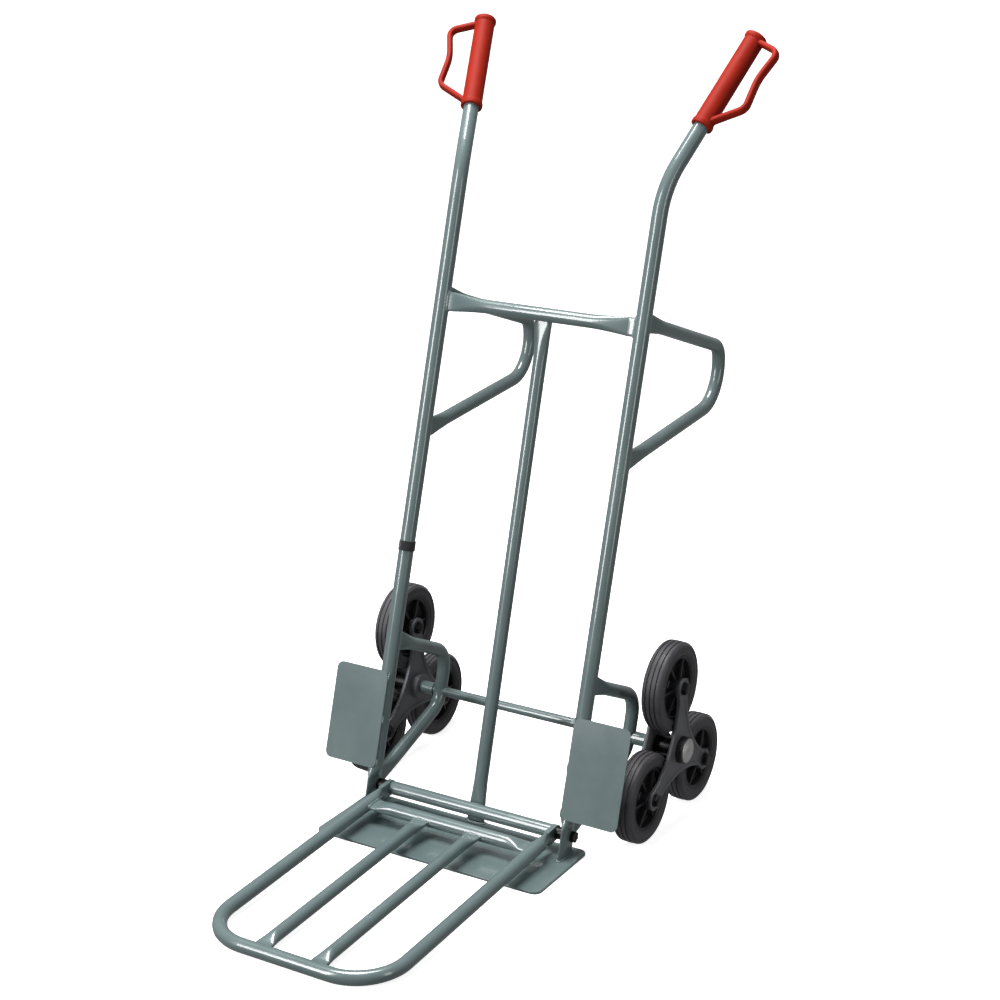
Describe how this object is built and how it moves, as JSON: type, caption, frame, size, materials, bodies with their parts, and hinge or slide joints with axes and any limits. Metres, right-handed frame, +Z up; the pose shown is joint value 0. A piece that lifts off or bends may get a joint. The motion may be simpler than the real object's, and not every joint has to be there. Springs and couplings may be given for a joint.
{
  "type": "stair-climbing hand truck",
  "caption": "Tubular steel hand truck with a folding slatted shovel, rear side loops, guarded hand grips and three-wheel stair clusters.",
  "frame": {"origin": "on the floor, on the underside of the toe plate, midway between the uprights, where the plane of their axes meets the floor", "axes": "+Z up, the longest extent; +X across the truck, the shortest extent; -Y towards the load side, where the shovel unfolds; +Y towards the stair wheels"},
  "size_m": [0.5908, 1.0156, 1.2381],
  "materials": {
    "frame_paint": "gloss grey-green paint on steel tube",
    "grip_red": "moulded red plastic, satin",
    "tyre_rubber": "dark solid rubber",
    "wheel_rim": "moulded black plastic",
    "spider_black": "satin black painted steel plate",
    "zinc_steel": "zinc plated steel",
    "black_fasteners": "black oxide steel",
    "strap_webbing": "black hook-and-loop webbing"
  },
  "bodies": {
    "frame": {"axle": "frame_paint", "axle_caps": "zinc_steel", "axle_loop_left": "frame_paint", "axle_loop_right": "frame_paint", "axle_spacers": "frame_paint", "centre_tube": "frame_paint", "cross_tube_plugs": "zinc_steel", "fold_strap": "strap_webbing", "grip_left": "grip_red", "grip_right": "grip_red", "lower_cross_tube": "frame_paint", "pivot_bolts": "black_fasteners", "pivot_spacers": "black_fasteners", "side_loop_left": "frame_paint", "side_loop_right": "frame_paint", "toe_plate": "frame_paint", "upper_cross_bar": "frame_paint", "upright_left": "frame_paint", "upright_right": "frame_paint", "wheel_guard_left": "frame_paint", "wheel_guard_right": "frame_paint"},
    "shovel": {"shovel_cross_tube": "frame_paint", "shovel_loop": "frame_paint", "shovel_slat_left": "frame_paint", "shovel_slat_right": "frame_paint"},
    "cluster_left": {"spider_outer_left": "spider_black", "spider_inner_left": "spider_black", "hub_sleeve_left": "black_fasteners", "wheel_sleeves_left": "black_fasteners", "wheel_bolts_left": "black_fasteners", "wheel_nuts_left": "black_fasteners"},
    "cluster_right": {"spider_outer_right": "spider_black", "spider_inner_right": "spider_black", "hub_sleeve_right": "black_fasteners", "wheel_sleeves_right": "black_fasteners", "wheel_bolts_right": "black_fasteners", "wheel_nuts_right": "black_fasteners"},
    "wheel_left_1": {"rim_left_1": "wheel_rim", "tyre_left_1": "tyre_rubber"},
    "wheel_left_2": {"rim_left_2": "wheel_rim", "tyre_left_2": "tyre_rubber"},
    "wheel_left_3": {"rim_left_3": "wheel_rim", "tyre_left_3": "tyre_rubber"},
    "wheel_right_1": {"rim_right_1": "wheel_rim", "tyre_right_1": "tyre_rubber"},
    "wheel_right_2": {"rim_right_2": "wheel_rim", "tyre_right_2": "tyre_rubber"},
    "wheel_right_3": {"rim_right_3": "wheel_rim", "tyre_right_3": "tyre_rubber"}
  },
  "joints": [
    {"name": "shovel_fold", "type": "hinge", "parent": "frame", "child": "shovel", "pos_m": [0, 0.02236, 0.03222], "axis": [-1, 0, 0], "range_deg": [-4, 103]},
    {"name": "cluster_spin_left", "type": "hinge", "parent": "frame", "child": "cluster_left", "pos_m": [-0.2505, 0.21902, 0.126], "axis": [1, 0, 0], "continuous": true},
    {"name": "wheel_spin_left_1", "type": "hinge", "parent": "cluster_left", "child": "wheel_left_1", "pos_m": [-0.2505, 0.21902, 0.231], "axis": [1, 0, 0], "continuous": true},
    {"name": "wheel_spin_left_2", "type": "hinge", "parent": "cluster_left", "child": "wheel_left_2", "pos_m": [-0.2505, 0.12809, 0.0735], "axis": [1, 0, 0], "continuous": true},
    {"name": "wheel_spin_left_3", "type": "hinge", "parent": "cluster_left", "child": "wheel_left_3", "pos_m": [-0.2505, 0.30996, 0.0735], "axis": [1, 0, 0], "continuous": true},
    {"name": "cluster_spin_right", "type": "hinge", "parent": "frame", "child": "cluster_right", "pos_m": [0.2505, 0.21902, 0.126], "axis": [1, 0, 0], "continuous": true},
    {"name": "wheel_spin_right_1", "type": "hinge", "parent": "cluster_right", "child": "wheel_right_1", "pos_m": [0.2505, 0.21902, 0.231], "axis": [1, 0, 0], "continuous": true},
    {"name": "wheel_spin_right_2", "type": "hinge", "parent": "cluster_right", "child": "wheel_right_2", "pos_m": [0.2505, 0.12809, 0.0735], "axis": [1, 0, 0], "continuous": true},
    {"name": "wheel_spin_right_3", "type": "hinge", "parent": "cluster_right", "child": "wheel_right_3", "pos_m": [0.2505, 0.30996, 0.0735], "axis": [1, 0, 0], "continuous": true}
  ]
}
